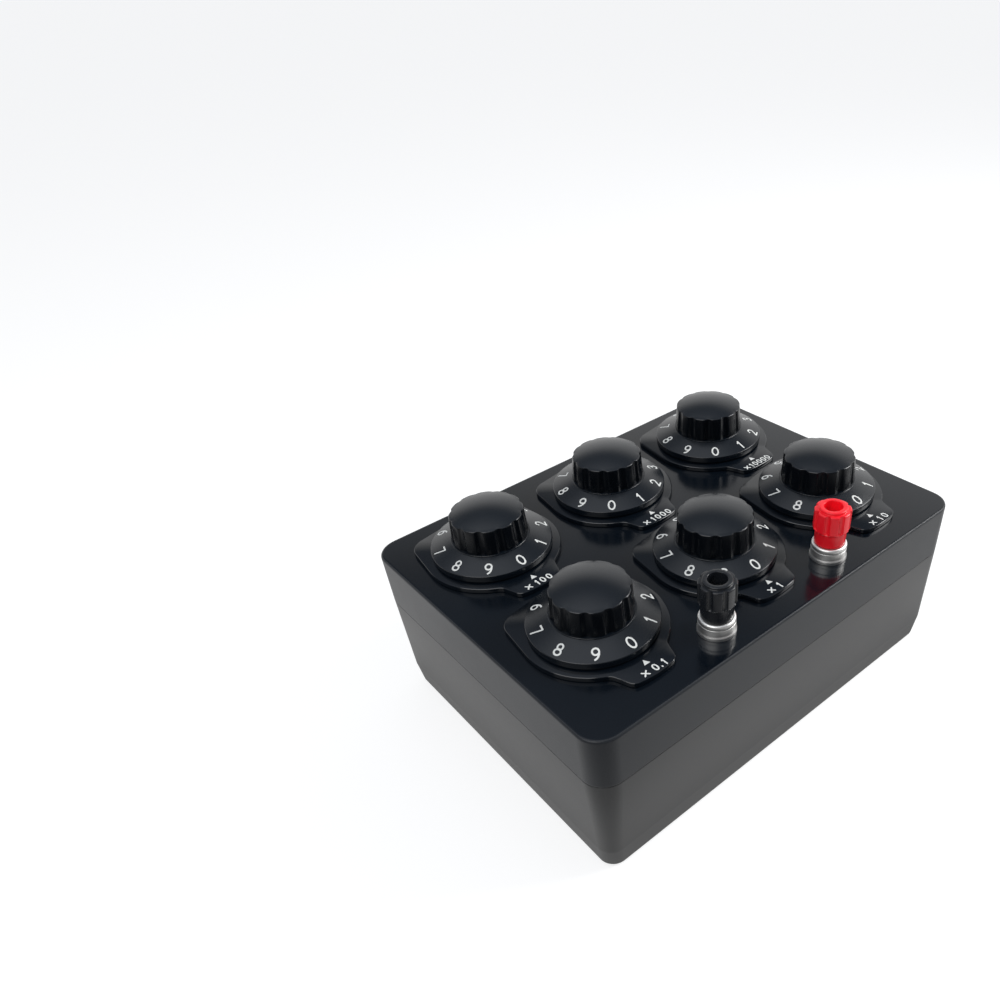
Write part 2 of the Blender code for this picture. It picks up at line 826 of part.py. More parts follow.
def main():
    """Builds the whole box."""
    moulding = make_material("case_moulding", (0.020, 0.021, 0.022), 0.32)
    lid_moulding = make_material("lid_moulding", (0.014, 0.015, 0.018), 0.2)
    rubber = make_material("rubber", (0.02, 0.02, 0.02), 0.8)
    materials = {
        "escutcheon": make_material("escutcheon_moulding", (0.012, 0.013, 0.015), 0.3),
        "knob": make_material("knob_moulding", (0.013, 0.015, 0.017), 0.25),
        "brass": make_material("brass", (0.62, 0.42, 0.14), 0.3, 1.0),
        "steel": make_material("steel", (0.55, 0.55, 0.56), 0.3, 1.0),
        "bronze": make_material("phosphor_bronze", (0.55, 0.30, 0.14), 0.35, 1.0),
        "winding": make_material("enamelled_winding", (0.30, 0.10, 0.04), 0.4),
        "nickel": make_material("nickel", (0.66, 0.65, 0.62), 0.2, 1.0),
        "black": make_material("black_cap_moulding", (0.012, 0.013, 0.015), 0.25),
        "red": make_material("red_cap_moulding", (0.62, 0.008, 0.016), 0.3),
        "lead_black": make_material("lead_black", (0.02, 0.02, 0.02), 0.5),
        "lead_red": make_material("lead_red", (0.5, 0.01, 0.01), 0.5),
    }
    board_resin = make_material("board_resin", (0.10, 0.045, 0.015), 0.5)
    make_top_cover(lid_moulding)
    make_lower_case(moulding)
    make_feet(rubber)
    make_case_screws(materials["steel"])
    make_dials(materials)
    make_board(board_resin)
    make_posts(materials)
    make_leads(materials)


main()
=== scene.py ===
"""Looks of the decade resistance box: each moulded, turned, plated or engraved piece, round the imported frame."""
from math import acos, asin, atan2, cos, pi, radians, sin, sqrt, tau

import bmesh
import bpy
from mathutils import Matrix, Vector


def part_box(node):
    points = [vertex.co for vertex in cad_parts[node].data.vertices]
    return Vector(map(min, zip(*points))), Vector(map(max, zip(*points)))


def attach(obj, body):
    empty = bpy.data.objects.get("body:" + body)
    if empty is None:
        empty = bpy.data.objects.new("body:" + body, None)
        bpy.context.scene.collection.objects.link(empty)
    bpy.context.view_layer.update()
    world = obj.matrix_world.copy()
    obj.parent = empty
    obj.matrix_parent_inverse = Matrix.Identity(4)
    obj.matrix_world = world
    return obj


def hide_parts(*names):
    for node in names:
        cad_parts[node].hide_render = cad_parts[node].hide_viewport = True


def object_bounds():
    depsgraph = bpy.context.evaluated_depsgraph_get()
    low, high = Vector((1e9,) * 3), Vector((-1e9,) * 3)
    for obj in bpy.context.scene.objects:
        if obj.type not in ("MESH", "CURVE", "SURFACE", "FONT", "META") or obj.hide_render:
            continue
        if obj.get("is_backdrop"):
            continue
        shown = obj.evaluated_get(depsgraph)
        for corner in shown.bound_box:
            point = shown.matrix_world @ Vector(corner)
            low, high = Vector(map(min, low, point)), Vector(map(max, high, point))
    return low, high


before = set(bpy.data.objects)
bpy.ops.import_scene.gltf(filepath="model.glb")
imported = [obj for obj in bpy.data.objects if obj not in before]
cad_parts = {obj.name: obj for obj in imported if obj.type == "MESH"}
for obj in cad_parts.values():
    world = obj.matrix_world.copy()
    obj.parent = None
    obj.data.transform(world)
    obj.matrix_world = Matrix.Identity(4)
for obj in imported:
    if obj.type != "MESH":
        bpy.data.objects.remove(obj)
cad_low, cad_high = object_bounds()


# The studio: a plain white floor, a pale horizon under a dim ceiling, and soft lamps high on the left.
# The floor shows white to the camera and in gloss, and keeps the shadow of the box.
class Level:
    """A number or colour that varies over a surface. Sums with it add Math nodes to its paint."""

    def __init__(self, paint, socket):
        self.paint = paint
        self.socket = socket

    def out(self, name):
        """Another output of the same node."""
        return Level(self.paint, self.socket.node.outputs[name])

    def maths(self, operation, first, second):
        return self.paint.node("Math", {"operation": operation}, {0: first, 1: second})

    def __add__(self, other):
        return self.maths("ADD", self, other)

    __radd__ = __add__

    def __sub__(self, other):
        return self.maths("SUBTRACT", self, other)

    def __rsub__(self, other):
        return self.maths("SUBTRACT", other, self)

    def __mul__(self, other):
        return self.maths("MULTIPLY", self, other)

    __rmul__ = __mul__

    def __pow__(self, other):
        return self.maths("POWER", self, other)


class Paint:
    """The node tree of a material or a world in the making."""

    def __init__(self, owner):
        owner.use_nodes = True
        self.owner = owner
        self.tree = owner.node_tree
        self.tree.nodes.clear()

    def node(self, kind, settings=None, inputs=None, output=0):
        """Adds one node: its settings first, then the values and links of its sockets."""
        made = self.tree.nodes.new("ShaderNode" + kind)
        for key, value in (settings or {}).items():
            if key == "stops":
                ramp = made.color_ramp
                for place, colour in value[1:-1]:
                    ramp.elements.new(place)
                for stop, (place, colour) in zip(ramp.elements, value):
                    stop.position = place
                    stop.color = (*colour, 1)
            else:
                setattr(made, key, value)
        for key, value in (inputs or {}).items():
            if isinstance(value, Level):
                self.tree.links.new(value.socket, made.inputs[key])
            else:
                made.inputs[key].default_value = value
        return Level(self, made.outputs[output]) if len(made.outputs) else None

    def mix(self, share, first, second):
        """A colour between two colours."""
        return self.node("Mix", {"data_type": "RGBA"}, {0: share, 6: first, 7: second}, 2)


def grey(level):
    """A neutral colour."""
    return (level, level, level)


floor_size = 40.0
floor_drop = 0.00005
floor_bm = bmesh.new()
bmesh.ops.create_grid(floor_bm, x_segments=1, y_segments=1, size=floor_size / 2,
                      matrix=Matrix.Translation((0, 0, -floor_drop)))
floor_mesh = bpy.data.meshes.new("floor")
floor_bm.to_mesh(floor_mesh)
floor_bm.free()
floor = bpy.data.objects.new("floor", floor_mesh)
bpy.context.scene.collection.objects.link(floor)
floor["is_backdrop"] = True

# In gloss the floor fades where it comes forward, towards the dark side of the room, and round the box's foot its glow
# is darkened as a painted contact shadow
front = (-0.623, -0.782, 0.0)
floor_albedo = 0.42
floor_white = 0.70
fade_stops = ((0.0, grey(1.0)), (0.12, grey(1.0)), (0.18, grey(0.30)), (1.0, grey(0.3)))
painted_contact_shadow_stops = ((0.0, grey(0.55)), (0.012, grey(0.85)), (0.03, grey(1.0)))
paint = Paint(bpy.data.materials.new("floor_paint"))
matt = paint.node("BsdfDiffuse", {}, {"Color": (*grey(floor_albedo), 1)})
glow = paint.node("AddShader", {}, {0: matt, 1: paint.node("Emission", {}, {"Strength": floor_white})})
place = paint.node("TexCoord", output="Object")
forward = paint.node("VectorMath", {"operation": "DOT_PRODUCT"}, {0: place, 1: front}, "Value")
fade = paint.node("ValToRGB", {"stops": fade_stops}, {"Fac": forward})
along = paint.node("SeparateXYZ", {}, {0: place}, "X")
beyond = along.maths("ABSOLUTE", along, 0.0) - cad_high.x
aside = along.maths("ABSOLUTE", along.out("Y"), 0.0) - cad_high.y
# Painted contact shadow: the floor's glow in gloss is darker within about 3 cm of the box's footprint
contact = paint.node("ValToRGB", {"stops": painted_contact_shadow_stops}, {"Fac": beyond.maths("MAXIMUM", beyond, aside)})
near = paint.node("Mix", {"data_type": "RGBA", "blend_type": "MULTIPLY"}, {0: 1.0, 6: fade, 7: contact}, 2)
gloss = paint.node("Emission", {}, {"Color": near})
path = paint.node("LightPath", output="Is Camera Ray")
mirrored = path.out("Is Glossy Ray") + path.out("Is Transmission Ray")
base = paint.node("MixShader", {}, {0: path, 1: matt, 2: glow})
paint.node("OutputMaterial", {}, {"Surface": paint.node("MixShader", {}, {0: mirrored, 1: base, 2: gloss})})
floor_mesh.materials.append(paint.owner)

# Brightness of the room by the sine of the height above the horizon. It is lighter on the right, and the side
# that the front corner faces is dark except overhead.
sky_stops = ((0.0, grey(1.0)), (0.28, grey(1.0)), (0.42, grey(0.6)), (0.54, (0.12, 0.14, 0.17)),
             (0.74, (0.30, 0.33, 0.38)), (0.95, (0.95, 1.0, 1.08)))
dark_stops = ((0.0, grey(1.0)), (0.15, grey(0.9)), (0.55, grey(0.25)))
right_lift = 0.26
world = bpy.data.worlds.new("studio")
bpy.context.scene.world = world
paint = Paint(world)
view = paint.node("TexCoord", output="Generated")
parts = paint.node("SeparateXYZ", {}, {0: view}, "X")
sky = paint.node("ValToRGB", {"stops": sky_stops}, {"Fac": parts.out("Z") - parts * right_lift})
forward = paint.node("VectorMath", {"operation": "DOT_PRODUCT"}, {0: view, 1: front}, "Value")
dark = paint.node("ValToRGB", {"stops": dark_stops}, {"Fac": forward})
light = paint.node("Mix", {"data_type": "RGBA", "blend_type": "MULTIPLY"}, {0: 1.0, 6: sky, 7: dark}, 2)
# To the camera the room is white from every side
shown = paint.mix(paint.node("LightPath", output="Is Camera Ray"), light, (1, 1, 1, 1))
paint.node("OutputWorld", {}, {"Surface": paint.node("Background", {}, {"Color": shown, "Strength": 1.0})})
bpy.context.scene.view_settings.view_transform = "Standard"


def lamp(name, azimuth, elevation, distance, size, power):
    """A square soft lamp that looks at the box from a direction: azimuth 0 is in front, 90 on the right."""
    a, e = radians(azimuth), radians(elevation)
    towards = Vector((sin(a) * cos(e), -cos(a) * cos(e), sin(e)))
    data = bpy.data.lights.new(name, "AREA")
    data.size = size
    data.energy = power
    thing = bpy.data.objects.new(name, data)
    thing.location = towards * distance
    thing.rotation_mode = "QUATERNION"
    thing.rotation_quaternion = towards.to_track_quat("Z", "Y")
    bpy.context.scene.collection.objects.link(thing)


lamp("right_lamp", 60, 36, 0.9, 0.35, 5.0)
lamp("left_lamp", -72, 44, 1.0, 0.7, 4.0)


# The camera stands in front and to the left, above the box, turned a little about its own axis.
camera_eye = Vector((-0.19178, -0.21426, 0.27593))
camera_azimuth = radians(-38.507)
camera_elevation = radians(39.819)
camera_roll = radians(-3.874)
sensor_width = 36.0
focal_share = 0.818817
axis_column = 0.631704
axis_row = 0.596966
near_clip = 0.01
far_clip = 100

away = Vector((sin(camera_azimuth) * cos(camera_elevation), -cos(camera_azimuth) * cos(camera_elevation),
               sin(camera_elevation)))
level_right = (-away).cross(Vector((0, 0, 1))).normalized()
level_up = level_right.cross(-away)
camera_right = level_right * cos(camera_roll) + level_up * sin(camera_roll)
camera_up = level_up * cos(camera_roll) - level_right * sin(camera_roll)
camera_turn = Matrix((camera_right, camera_up, away)).transposed().to_4x4()
camera_data = bpy.data.cameras.new("camera")
camera_data.sensor_width = sensor_width
camera_data.lens = sensor_width * focal_share
camera_data.shift_x = 0.5 - axis_column
camera_data.shift_y = axis_row - 0.5
camera_data.clip_start = near_clip
camera_data.clip_end = far_clip
camera = bpy.data.objects.new("camera", camera_data)
camera.matrix_world = Matrix.Translation(camera_eye) @ camera_turn
bpy.context.scene.collection.objects.link(camera)
bpy.context.scene.camera = camera


# The tub: one black injection moulding with a fine eroded texture, drawn in at a bevelled band round its foot.
# Inside are a tongue for the lid and four bosses; screws come up through them from under the rubber feet.
crease_angle = radians(28)
corner_segments = 12
hole_segments = 48


def rectangle_ring(bm, half_length, half_width, radius, z):
    """The edges of a rectangle with round corners."""
    bmesh.ops.create_grid(bm, x_segments=1, y_segments=1, size=1,
                          matrix=Matrix.Translation((0, 0, z)) @ Matrix.Diagonal((half_length, half_width, 1, 1)))
    bm.faces.ensure_lookup_table()
    bmesh.ops.bevel(bm, geom=list(bm.faces[-1].verts), offset=radius, offset_type="OFFSET", affect="VERTICES",
                    segments=corner_segments, profile=0.5, material=-1)
    bm.faces.ensure_lookup_table()
    face = bm.faces[-1]
    edges = list(face.edges)
    bmesh.ops.delete(bm, geom=[face], context="FACES_ONLY")
    return edges


def circle_ring(bm, x, y, radius, z, segments=hole_segments):
    """The edges of a level circle."""
    made = bmesh.ops.create_circle(bm, cap_ends=False, radius=radius, segments=segments,
                                   matrix=Matrix.Translation((x, y, z)))
    return list({edge for vert in made["verts"] for edge in vert.link_edges})


def bridge(bm, *rings):
    """Walls from each ring to the next."""
    for first, second in zip(rings, rings[1:]):
        bmesh.ops.bridge_loops(bm, edges=first + second)


def fill(bm, *rings):
    """A flat face inside the first ring and round the others."""
    bmesh.ops.triangle_fill(bm, use_beauty=True, use_dissolve=False, edges=[e for ring in rings for e in ring])


def fit(bm, name, paint, body, nodes=(), turned_out=False):
    """Makes a shape a piece that moves with a body and stands for its CAD nodes."""
    bmesh.ops.remove_doubles(bm, verts=bm.verts, dist=weld_distance)
    if not turned_out:
        bmesh.ops.recalc_face_normals(bm, faces=bm.faces)
        if bm.calc_volume(signed=True) < 0:
            bmesh.ops.reverse_faces(bm, faces=bm.faces)
    mesh = bpy.data.meshes.new(name)
    bm.to_mesh(mesh)
    bm.free()
    mesh.shade_smooth()
    mesh.set_sharp_from_angle(angle=crease_angle)
    mesh.materials.append(paint)
    piece = bpy.data.objects.new(name, mesh)
    bpy.context.scene.collection.objects.link(piece)
    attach(piece, body)
    if nodes:
        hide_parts(*nodes)
    return piece


def moulding(name, dark, pale, gloss, haze, grain, grain_depth, ior=1.5):
    """Moulded plastic: clouded colour, a patchy gloss and a fine skin. Gloss and haze are its least and most roughness."""
    paint = Paint(bpy.data.materials.new(name))
    place = paint.node("TexCoord", output="Object")
    cloud = paint.node("TexNoise", {}, {"Vector": place, "Scale": 38.0, "Detail": 5.0, "Roughness": 0.6})
    smear = paint.node("TexNoise", {}, {"Vector": place, "Scale": 160.0, "Detail": 6.0, "Roughness": 0.7})
    skin = paint.node("TexNoise", {}, {"Vector": place, "Scale": grain, "Detail": 3.0, "Roughness": 0.55})
    colour = paint.mix(cloud * 0.7 + smear * 0.3, (*dark, 1), (*pale, 1))
    rough = gloss + (haze - gloss) * (cloud * 0.5 + smear * 0.5)
    bump = paint.node("Bump", {}, {"Strength": 0.35, "Distance": grain_depth, "Height": skin})
    plastic = paint.node("BsdfPrincipled", {}, {"Base Color": colour, "Roughness": rough, "Normal": bump, "IOR": ior})
    paint.node("OutputMaterial", {}, {"Surface": plastic})
    return paint.owner


lid_low, lid_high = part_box("top_cover")
half_length = lid_high.x
half_width = lid_high.y
panel_top = lid_high.z
gap = 0.0003
weld_distance = 0.000002
corner_radius = 0.0102
wall = 0.0024
lid_draft = 0.0002
tub_low, tub_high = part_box("lower_case")
tub_base = tub_low.z
tongue_top = tub_high.z
tongue_height = 0.0025
tongue_wall = 0.0012
tub_rim = tongue_top - tongue_height
tub_floor = 0.003
foot_low, foot_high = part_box("foot_front_left")
boss_x = half_length - 0.013
boss_y = half_width - 0.013
corners = [(sx * boss_x, sy * boss_y) for sy in (-1, 1) for sx in (-1, 1)]
corner_names = ("front_left", "front_right", "back_left", "back_right")
foot_radius = 0.0064
recess_top = foot_high.z + gap
screw_head = 0.0038
screw_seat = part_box("case_screw_front_left")[0].z + 0.0028
screw_shank = 0.0023
boss_radius = 0.0055
lid_boss_bottom = lid_low.z
tub_boss_top = lid_boss_bottom - gap

# How far each level of the outside stands in from the lid's edge, its height over the base and its corner radius
tub_levels = (
    (0.0040, 0.0, 0.0056), (0.00345, 0.00012, 0.0062), (0.0031, 0.0005, 0.0065), (0.0029, 0.0011, 0.0066),
    (0.00188, 0.0098, 0.0067), (0.00178, 0.0104, 0.0067), (0.00173, 0.0110, 0.0067), (0.0017, 0.0118, 0.00675),
    (0.00025, tub_rim - tub_base - 0.0004, 0.0099), (0.0003, tub_rim - tub_base - 0.0002, 0.0099),
    (0.0004, tub_rim - tub_base - 0.00006, 0.0098), (0.0006, tub_rim - tub_base, 0.0096),
)
bm = bmesh.new()
outside = [rectangle_ring(bm, half_length - inset, half_width - inset, radius, tub_base + rise)
           for inset, rise, radius in tub_levels]
tongue_inset = lid_draft + wall + gap
inner_inset = tongue_inset + tongue_wall
tongue_radius = corner_radius - wall - gap
outside.append(rectangle_ring(bm, half_length - tongue_inset, half_width - tongue_inset, tongue_radius, tub_rim))
outside.append(rectangle_ring(bm, half_length - tongue_inset, half_width - tongue_inset, tongue_radius, tongue_top))
outside.append(rectangle_ring(bm, half_length - inner_inset, half_width - inner_inset, tongue_radius - tongue_wall,
                              tongue_top))
floor_inset = 0.006
outside.append(rectangle_ring(bm, half_length - floor_inset, half_width - floor_inset, 0.0036, tub_base + tub_floor))
bridge(bm, *outside)
mouths = []
boss_feet = []
for x, y in corners:
    rings = [circle_ring(bm, x, y, radius, z) for radius, z in (
        (foot_radius + gap, tub_base), (foot_radius + gap, recess_top), (screw_head, recess_top),
        (screw_head, screw_seat), (screw_shank, screw_seat), (screw_shank, tub_boss_top), (boss_radius, tub_boss_top),
        (boss_radius, tub_base + tub_floor))]
    bridge(bm, *rings)
    mouths.append(rings[0])
    boss_feet.append(rings[-1])
fill(bm, outside[0], *mouths)
fill(bm, outside[-1], *boss_feet)
tub_paint = moulding("tub_moulding", grey(0.030), (0.042, 0.043, 0.044), 0.36, 0.46, 2600.0, 0.00005, 1.58)
fit(bm, "tub", tub_paint, "root", ["lower_case"])


# The lid: a glossier black moulding whose flat panel has a 1 mm rounded edge and short drafted walls.
# It is bored for six switch bushes and two posts, and has four blind bosses for the case screws underneath.
seam = tub_rim + gap
panel_thickness = 0.003
panel_under = panel_top - panel_thickness
edge_round = 0.001
edge_steps = 6
seam_round = 0.0002
support = 0.0004
switch_hole = 0.0053
post_hole = 0.0033
lid_boss_radius = 0.0045
screw_hole = 0.0023
screw_hole_depth = 0.012
dial_names = ("tenths", "ones", "tens", "ten_thousands", "thousands", "hundreds")
dial_centres = {}
for name in dial_names:
    low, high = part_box("bush_" + name)
    dial_centres[name] = ((low.x + high.x) / 2, (low.y + high.y) / 2)
post_centres = {}
for name in ("black", "red"):
    low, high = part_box(name + "_post_collar")
    post_centres[name] = ((low.x + high.x) / 2, (low.y + high.y) / 2)

bm = bmesh.new()
lid_levels = [(lid_draft + seam_round, seam), (lid_draft + seam_round * 0.3, seam + seam_round * 0.3),
              (lid_draft, seam + seam_round), (lid_draft, seam + seam_round + support)]
lid_levels.append((0.0, panel_top - edge_round - support))
for step in range(edge_steps + 1):
    turn = step / edge_steps * pi / 2
    lid_levels.append((edge_round * (1 - cos(turn)), panel_top - edge_round * (1 - sin(turn))))
lid_levels.append((edge_round + support, panel_top))
shell = [rectangle_ring(bm, half_length - inset, half_width - inset, corner_radius - inset, z)
         for inset, z in lid_levels]
bridge(bm, *shell)
cavity_inset = lid_draft + wall
cavity = [rectangle_ring(bm, half_length - cavity_inset, half_width - cavity_inset, corner_radius - wall, z)
          for z in (seam, panel_under)]
bridge(bm, shell[0], *cavity)
tops = []
unders = []
holes = [(x, y, switch_hole) for x, y in dial_centres.values()]
holes += [(x, y, post_hole) for x, y in post_centres.values()]
for x, y, radius in holes:
    rings = [circle_ring(bm, x, y, radius, z) for z in (panel_top, panel_under)]
    bridge(bm, *rings)
    tops.append(rings[0])
    unders.append(rings[1])
for x, y in corners:
    rings = [circle_ring(bm, x, y, radius, z) for radius, z in (
        (lid_boss_radius, panel_under), (lid_boss_radius, lid_boss_bottom), (screw_hole, lid_boss_bottom),
        (screw_hole, lid_boss_bottom + screw_hole_depth))]
    bridge(bm, *rings)
    unders.append(rings[0])
    fill(bm, rings[-1])
fill(bm, shell[-1], *tops)
fill(bm, cavity[-1], *unders)
lid_paint = moulding("lid_moulding", (0.0022, 0.0040, 0.0068), (0.0034, 0.0056, 0.0090), 0.11, 0.17, 900.0, 0.00001,
                     1.45)
lid = fit(bm, "lid", lid_paint, "root", ["top_cover"])
lid.data.materials.append(moulding("lid_wall_moulding", (0.014, 0.016, 0.020), (0.022, 0.025, 0.029), 0.34, 0.44, 2600.0,
                                   0.00005, 1.36))
for side in lid.data.polygons:
    side.material_index = int(side.normal.z < 0.97)


# The four feet: grey-black rubber buttons with a rounded rim, pressed into recesses over the case screws.
foot_round = 0.0008
foot_steps = 5


def spun(bm, profile, centre=(0, 0), steps=160):
    """Turns a profile of (radius, height) points once round an upright axis."""
    verts = [bm.verts.new((centre[0] + radius, centre[1], z)) for radius, z in profile]
    edges = [bm.edges.new(pair) for pair in zip(verts, verts[1:])]
    bmesh.ops.spin(bm, geom=verts + edges, cent=(*centre, 0), axis=(0, 0, 1), angle=tau, steps=steps, use_merge=True,
                   use_duplicate=False)
    bmesh.ops.remove_doubles(bm, verts=bm.verts, dist=weld_distance)


def rounded(radius, z, turn_from, turn_to, r, steps=4):
    """Points round an edge: an arc of radius r about a point of the profile."""
    turns = [turn_from + (turn_to - turn_from) * step / steps for step in range(steps + 1)]
    return [(radius + r * cos(turn), z + r * sin(turn)) for turn in turns]


rubber_paint = moulding("foot_rubber", grey(0.018), grey(0.03), 0.7, 0.9, 1500.0, 0.00006)
for (x, y), name in zip(corners, corner_names):
    bm = bmesh.new()
    profile = [(0, 0)] + rounded(foot_radius - foot_round, foot_round, -pi / 2, 0, foot_round, foot_steps)
    profile += [(foot_radius, foot_high.z), (0, foot_high.z)]
    spun(bm, profile, (x, y), 64)
    fit(bm, "foot_pad_" + name, rubber_paint, "root", ["foot_" + name])


# The six plates under the dials: black mouldings with a crisp rounded edge, filled out at the two back shoulders.
# A tab at the front carries the pointer mark and the multiplier; the switch nut clamps the plate to the lid.
plate_low, plate_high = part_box("escutcheon_ones")
plate_bottom = plate_low.z
plate_top = plate_high.z
plate_radius = plate_high.y - dial_centres["ones"][1]
shoulder_radius = 0.0080
shoulder = Vector((0.0182, 0.0176))
tab_reach = dial_centres["ones"][1] - plate_low.y
tab_end_half = 0.0098
tab_root_half = 0.0128
tab_root_drop = 0.0252
tab_blend = 0.0013
tab_bow = 0.0010
tab_corner = 0.0022
plate_round = 0.00045


def arc(centre, radius, start, end, steps):
    """Points along an arc, without its last one."""
    turns = [start + (end - start) * step / steps for step in range(steps)]
    return [(centre[0] + radius * cos(turn), centre[1] + radius * sin(turn)) for turn in turns]


def tab_half_width(drop):
    """Half the width of the plate at a distance in front of its centre: the circle runs smoothly into the tab."""
    circle = sqrt(max(plate_radius ** 2 - drop ** 2, 0))
    share = (drop - tab_root_drop) / (tab_reach - tab_bow - tab_root_drop)
    tab = tab_root_half + (tab_end_half - tab_root_half) * share
    return (circle + tab + sqrt((circle - tab) ** 2 + tab_blend ** 2)) / 2


def plate_outline():
    """The right half from the back to the corner of the tab, then the bowed end, then the left half."""
    lean = acos((plate_radius - shoulder_radius) / shoulder.length)
    middle = atan2(shoulder.y, shoulder.x)
    blend_drop = 0.0205
    right = arc((0, 0), plate_radius, pi / 2, middle + lean, 3)
    right += arc(shoulder, shoulder_radius, middle + lean, middle - lean, 16)
    right += arc((0, 0), plate_radius, middle - lean, -asin(blend_drop / plate_radius), 30)
    drops = [blend_drop + (tab_reach - 0.0045 - blend_drop) * step / 18 for step in range(19)]
    right += [(tab_half_width(drop), -drop) for drop in drops]
    corner = (tab_end_half, -tab_reach + tab_bow)
    bow = [(tab_end_half * share, -tab_reach + tab_bow * share ** 2) for share in (0.6, 0.4, 0.2, 0, -0.2, -0.4, -0.6)]
    left = [(-x, y) for x, y in reversed(right + [corner])]
    return right + [corner] + bow + left[:-1], len(right)


plate_paint = moulding("plate_moulding", (0.0022, 0.0040, 0.0068), (0.0034, 0.0056, 0.0090), 0.12, 0.18, 900.0, 0.00001)
outline, corner_index = plate_outline()
for name, (x, y) in dial_centres.items():
    bm = bmesh.new()
    verts = [bm.verts.new((x + u, y + v, plate_top)) for u, v in outline]
    bm.faces.new(verts)
    ends = [verts[corner_index], verts[corner_index + 8]]
    bmesh.ops.bevel(bm, geom=ends, offset=tab_corner, offset_type="OFFSET", affect="VERTICES", segments=8, profile=0.5,
                    material=-1)
    bm.faces.ensure_lookup_table()
    face = bm.faces[0]
    rim = list(face.edges)
    wall_made = bmesh.ops.extrude_edge_only(bm, edges=rim)
    below = [part for part in wall_made["geom"] if isinstance(part, bmesh.types.BMVert)]
    bottom_rim = [part for part in wall_made["geom"] if isinstance(part, bmesh.types.BMEdge)]
    bmesh.ops.translate(bm, verts=below, vec=(0, 0, plate_bottom - plate_top))
    bmesh.ops.delete(bm, geom=[face], context="FACES_ONLY")
    bores = [circle_ring(bm, x, y, switch_hole, z) for z in (plate_top, plate_bottom)]
    bridge(bm, *bores)
    fill(bm, bottom_rim, bores[1])
    fill(bm, rim, bores[0])
    bmesh.ops.bevel(bm, geom=rim, offset=plate_round, offset_type="OFFSET", affect="EDGES", segments=3, profile=0.5,
                    material=-1)
    fit(bm, "plate_" + name, plate_paint, "root", ["escutcheon_" + name])


# The six knobs: black mouldings, one piece each, with a fluted grip under a shallow dome on a wide conical skirt.
# The skirt is hollow underneath, and a hub in it is pressed on the switch shaft.
knob_low, knob_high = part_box("knob_ones")
skirt_radius = knob_high.x - dial_centres["ones"][0]
skirt_bottom = knob_low.z
knob_top = knob_high.z
skirt_rim = 0.0028
skirt_rise = 0.0030
skirt_wall = 0.0022
rim_z = skirt_bottom + skirt_rim
cone_z = rim_z + skirt_rise
step_height = 0.0005
grip_base = cone_z + step_height
grip_foot_radius = 0.0157
grip_top_radius = 0.0151
step_radius = 0.0163
dome_rise = 0.0025
dome_round = 0.0006
grip_top = knob_top - dome_rise
flutes = 12
flute_radius = 0.0026
flute_depth = 0.0009
flute_lean = 0.6
ridge_round = 0.0003
hub_radius = 0.0062
hub_bottom = plate_top + gap + 0.0022 + 0.0008
bore_radius = 0.0033
bore_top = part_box("shaft_ones")[1].z + gap
knob_steps = 360
skirt_round = 0.0004
skirt_tilt = atan2(skirt_radius - step_radius, skirt_rise)
cone_radius = skirt_radius - skirt_round * (1 - cos(skirt_tilt))
cone_foot = rim_z - skirt_round * (1 - sin(skirt_tilt))
dome_steps = 12


def knob_profile():
    """From the top of the dome over the grip and skirt to the roof of the bore."""
    top_radius = grip_top_radius - dome_round
    dome = [(top_radius * step / dome_steps, knob_top - dome_rise * (step / dome_steps) ** 2)
            for step in range(dome_steps)]
    lip = rounded(top_radius, grip_top - dome_round, pi / 2, 0, dome_round, 6)
    side = [(grip_top_radius + (grip_foot_radius - grip_top_radius) * step / 6,
             grip_top - dome_round + (grip_base - grip_top + dome_round) * step / 6) for step in range(1, 7)]
    step_edge = rounded(step_radius - 0.0002, grip_base - 0.0002, pi / 2, 0, 0.0002, 3)
    rim = rounded(skirt_radius - skirt_round, rim_z - skirt_round, skirt_tilt, 0, skirt_round, 4)
    foot = rounded(skirt_radius - 0.0003, skirt_bottom + 0.0003, 0, -pi / 2, 0.0003, 3)
    inner = skirt_radius - skirt_wall
    under = [(inner, skirt_bottom), (inner, skirt_bottom + skirt_rim / 2), (step_radius, cone_z - skirt_wall),
             (hub_radius, cone_z - skirt_wall), (hub_radius, hub_bottom), (bore_radius, hub_bottom),
             (bore_radius, bore_top), (0, bore_top)]
    return dome + lip + side + step_edge + [(step_radius, cone_z)] + rim + foot + under


def flute(bm, centre):
    """Presses twelve upright flutes into the grip: round-bottomed grooves with rounded ridges, open at the dome."""
    for vert in bm.verts:
        x, y = vert.co.x - centre[0], vert.co.y - centre[1]
        radius = sqrt(x * x + y * y)
        inside = grip_top_radius * 0.7 < radius < grip_foot_radius + weld_distance
        if vert.co.z < grip_base - weld_distance or not inside:
            continue
        rise = (vert.co.z - grip_base) / (grip_top - grip_base)
        axis = grip_foot_radius - (grip_foot_radius - grip_top_radius) * rise * flute_lean + flute_radius - flute_depth
        lean = ((atan2(y, x) / tau * flutes) % 1 - 0.5) * tau / flutes
        across = axis * sin(lean)
        if abs(across) >= flute_radius:
            continue
        limit = axis * cos(lean) - sqrt(flute_radius ** 2 - across ** 2)
        kept = (radius + limit - sqrt((radius - limit) ** 2 + ridge_round ** 2)) / 2
        vert.co.x = centre[0] + x * kept / radius
        vert.co.y = centre[1] + y * kept / radius


knob_paint = moulding("knob_moulding", (0.0020, 0.0040, 0.0070), (0.0034, 0.0060, 0.0098), 0.23, 0.28, 2200.0, 0.000005)
